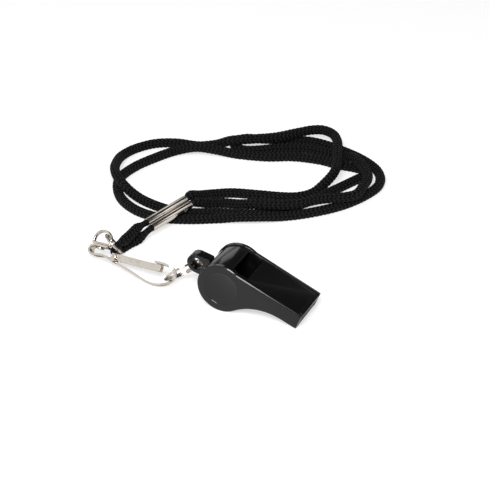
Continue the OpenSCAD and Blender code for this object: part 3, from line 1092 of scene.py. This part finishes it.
@dataclass
class SnapHook:
    """The swivel snap hook: bent frame, gate, pin, spring, swivel eye and rivet."""

    place: Placement = field(
        default_factory=lambda: Placement((-25.7, -0.1, 7.1), (48.0, -4.0, -7.0)))
    frame_edge: float = 0.14
    gate_edge: float = 0.1
    eye_edge: float = 0.3
    rivet_edge: float = 0.16
    pivot: Pair = (-28.993, -0.5)
    spring_inner: float = 0.51
    spring_wire: float = 0.09
    spring_wide: float = 1.2
    spring_turns: int = 6
    turn_steps: int = 24
    wire_sides: int = 8

    def spring(self) -> bpy.types.Object:
        """The coil spring round the gate's pin.

        Returns:
            The piece.
        """
        steps = self.spring_turns * self.turn_steps
        middle = self.spring_inner + self.spring_wire
        line = [
            Matrix.Translation((*self.pivot, self.spring_wide * (i / steps - 0.5)))
            @ Matrix.Rotation(TURN * self.spring_turns * i / steps, 4, "Z")
            @ Matrix.Translation((middle, 0.0, 0.0))
            for i in range(steps + 1)
        ]
        angles = [TURN * k / self.wire_sides for k in range(self.wire_sides)]
        section = [(self.spring_wire * math.cos(a), self.spring_wire * math.sin(a)) for a in angles]
        piece = swept("gate_coil_spring", line, section, self.place.matrix())
        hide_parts("gate_spring")
        return piece

    def build(self) -> None:
        """Make and dress the hook and its swivel."""
        parts = (
            ("hook_frame", "hook_bent_frame", self.frame_edge, "hook"),
            ("hook_gate", "hook_spring_gate", self.gate_edge, "gate"),
            ("gate_pin", "gate_pivot_pin", self.gate_edge, "hook"),
            ("swivel_eye", "swivel_eye_strap", self.eye_edge, "swivel"),
            ("swivel_rivet", "swivel_head_rivet", self.rivet_edge, "swivel"),
        )
        for node, name, edge, body in parts:
            piece = copy_of(node, name)
            rounded(piece, edge)
            smooth(piece)
            wear(piece, Coating.NICKEL, body)
        spring = self.spring()
        smooth(spring, SOFT_SHADE_DEGREES)
        wear(spring, Coating.NICKEL, "hook")


@dataclass
class Studio:
    """The white table, the soft boxes and the surrounding room."""

    table_size: float = 6.0
    table_level: float = -0.00002
    table_cells: int = 8
    sky: tuple[Pair, ...] = ((0.14, 0.97), (0.28, 0.3), (0.5, 0.07))
    aim: Point = (0.0, 0.03, 0.0)
    lamps: tuple[tuple[str, Point, float, float], ...] = (
        ("key_box", (0.2, -0.545, 0.655), 0.34, 8.0),
        ("left_box", (-0.55, -0.44, 0.57), 1.0, 3.0),
        ("back_left_box", (-0.36, 0.64, 0.43), 0.3, 0.42),
        ("back_right_box", (0.48, 0.42, 0.44), 0.3, 0.42),
    )

    def table(self) -> None:
        """The white table."""
        deselect()
        bpy.ops.mesh.primitive_grid_add(
            x_subdivisions=self.table_cells, y_subdivisions=self.table_cells, size=self.table_size,
            location=(0.0, 0.0, self.table_level))
        table = bpy.context.object
        table.name = "studio_table"
        settle(table)
        table.data.materials.append(TableTop().material())

    def room(self) -> None:
        """The room: white to the camera and in reflections near the horizon, dimmer overhead."""
        world = bpy.data.worlds.new("studio_room")
        bpy.context.scene.world = world
        world.use_nodes = True
        tree = world.node_tree
        tree.nodes.clear()
        output = tree.nodes.new("ShaderNodeOutputWorld")
        back = tree.nodes.new("ShaderNodeBackground")
        coords = tree.nodes.new("ShaderNodeTexCoord")
        split = tree.nodes.new("ShaderNodeSeparateXYZ")
        ramp = tree.nodes.new("ShaderNodeValToRGB")
        elements = ramp.color_ramp.elements
        elements.new(0.5)
        for element, (height, grey) in zip(elements, self.sky):
            element.position = height
            element.color = (grey, grey, grey, 1.0)
        tree.links.new(coords.outputs["Generated"], split.inputs[0])
        tree.links.new(split.outputs["Z"], ramp.inputs["Fac"])
        tree.links.new(ramp.outputs["Color"], back.inputs["Color"])
        tree.links.new(back.outputs[0], output.inputs["Surface"])

    def lamp(self, name: str, place: Point, size: float, power: float) -> None:
        """A square soft box that points at the object.

        Args:
            name: the lamp's name.
            place: its place in metres.
            size: its side in metres.
            power: its power in watts.
        """
        data = bpy.data.lights.new(name, "AREA")
        data.shape = "SQUARE"
        data.size = size
        data.energy = power
        lamp = bpy.data.objects.new(name, data)
        bpy.context.scene.collection.objects.link(lamp)
        lamp.visible_camera = False
        lamp.location = place
        facing = Vector(self.aim) - Vector(place)
        lamp.rotation_euler = facing.to_track_quat("-Z", "Y").to_euler()

    def build(self) -> None:
        """Set up the table, the room and the lamps."""
        self.table()
        self.room()
        for name, place, size, power in self.lamps:
            self.lamp(name, place, size, power)
        bpy.context.scene.view_settings.view_transform = "Standard"


@dataclass
class View:
    """The camera, at the photograph's own place."""

    place: Point = (0.31073, -0.61157, 0.43263)
    target: Point = (0.00306, 0.03935, 0.0)
    roll: float = -0.74
    lens: float = 147.3
    sensor: float = 36.0
    near: float = 0.01

    def build(self) -> None:
        """Add the camera and make it the scene's own."""
        data = bpy.data.cameras.new("photo_camera")
        data.lens = self.lens
        data.sensor_width = self.sensor
        data.sensor_fit = "HORIZONTAL"
        data.clip_start = self.near
        camera = bpy.data.objects.new("photo_camera", data)
        bpy.context.scene.collection.objects.link(camera)
        ahead = Vector(self.target) - Vector(self.place)
        facing = ahead.to_track_quat("-Z", "Y").to_matrix().to_4x4()
        camera.matrix_world = (Matrix.Translation(self.place) @ facing
                               @ Matrix.Rotation(math.radians(self.roll), 4, "Z"))
        bpy.context.scene.camera = camera


CORD_ROUTE: list[Point] = [
    (-47.6, 51.9, 1.29), (-47.1, 53.8, 1.29), (-46.5, 57.3, 1.31), (-45.2, 63, 0.7),
    (-42, 71, 0.05), (-35, 75.5, 0), (-24, 78.5, 0), (-14, 81, 0), (-7.5, 84, 0), (-3, 90, 0),
    (0, 97, 0.55), (1, 104, 0.95), (-1, 112, 1.02), (-5, 122, 1.16), (-8.5, 130, 1.1),
    (-13, 136, 1), (-18.5, 138, 1), (-23.5, 136, 1), (-29, 130.5, 1), (-36, 123, 1),
    (-45, 116.5, 1.05), (-53, 112.5, 0.95), (-60, 111.5, 0.25), (-68, 108.5, 0), (-78, 107, 0),
    (-87, 102.5, 0), (-93, 94.5, 0), (-95, 86, 0.1), (-93, 77, 0.5), (-89.5, 68.5, 0.9),
    (-85, 62, 1.05), (-79.5, 57, 0.95), (-73, 55, 0.3), (-65, 53, 0), (-54, 51, 0),
    (-44.5, 52.3, 0), (-32.5, 57.5, 0), (-21.5, 61.3, 0), (-13, 66.5, 0), (-6, 75, 0), (0, 85.5, 0),
    (9.5, 107.5, 0), (11.5, 112.5, 0), (10, 116.5, 0), (5.5, 118, 0), (-3, 117.6, 0),
    (-12, 118.4, 0), (-24, 116.5, 0), (-35, 111.5, 0), (-48, 108.5, 0), (-59, 106.5, 0.25),
    (-67, 104, 0.4), (-75, 100, 0.05), (-81, 90, 0), (-85.5, 78.5, 0), (-86.5, 67, 0), (-82, 57, 0),
    (-75, 49.5, 0), (-65, 44.5, 0), (-54, 43.5, 0), (-43, 47, 0), (-33, 52, 0), (-24, 55.5, 0.25),
    (-15, 59.5, 0.3), (-5, 67, 0), (5, 75.5, 0), (13.5, 86, 0), (19, 98, 0), (20.5, 108.5, 0),
    (16, 118.5, 0), (6, 126, 0), (-8, 131, 0), (-22, 133, 0), (-35, 129, 0), (-46, 125.5, 0),
    (-51.5, 123.5, 0), (-54.5, 119.5, 0), (-52.5, 115, 0), (-47, 113.3, 0), (-41, 116, 0),
    (-32, 122, 0), (-21, 126, 0), (-9, 126, 0), (-3.2, 124.2, 0.1), (1.5, 121.3, 0.7),
    (5.5, 118, 1.05), (12, 112, 1.05), (16.5, 105, 1), (17.5, 97, 1), (17.5, 89.5, 1),
    (13.5, 84.5, 1), (5, 79, 1), (-3, 71, 1), (-12, 66, 1), (-19, 64, 0.98), (-27, 65, 0.4),
    (-35, 65, 0.1), (-40, 60.6, 0.35), (-42.9, 56.2, 0.85), (-44.5, 53.1, 0.92), (-45, 51.2, 0.92),
]

LOOP_ROUTE: list[Point] = [
    (-53.2, 31.3, 7), (-53.7, 29.4, 7), (-54.3, 27.1, 7.1), (-55, 23.8, 7.1), (-55.3, 19, 6.8),
    (-55.7, 14.2, 6.6), (-56.3, 10.8, 6.5), (-57.3, 8.5, 5.2), (-58.1, 8.6, 3.3),
    (-58.3, 10.8, 1.9), (-57.4, 14.5, 1.9), (-56.3, 19, 1.9), (-54.3, 23.3, 2.3),
    (-51.9, 26.6, 4.7), (-51.1, 28.8, 5.3), (-50.6, 30.6, 5.4),
]


def main() -> None:
    """Build every part of the scene."""
    logging.basicConfig(level=logging.INFO, format="%(message)s")
    View().build()
    NeckCord().build()
    Whistle().build()
    WireRings().build()
    SnapHook().build()
    Studio().build()


if __name__ == "__main__":
    main()
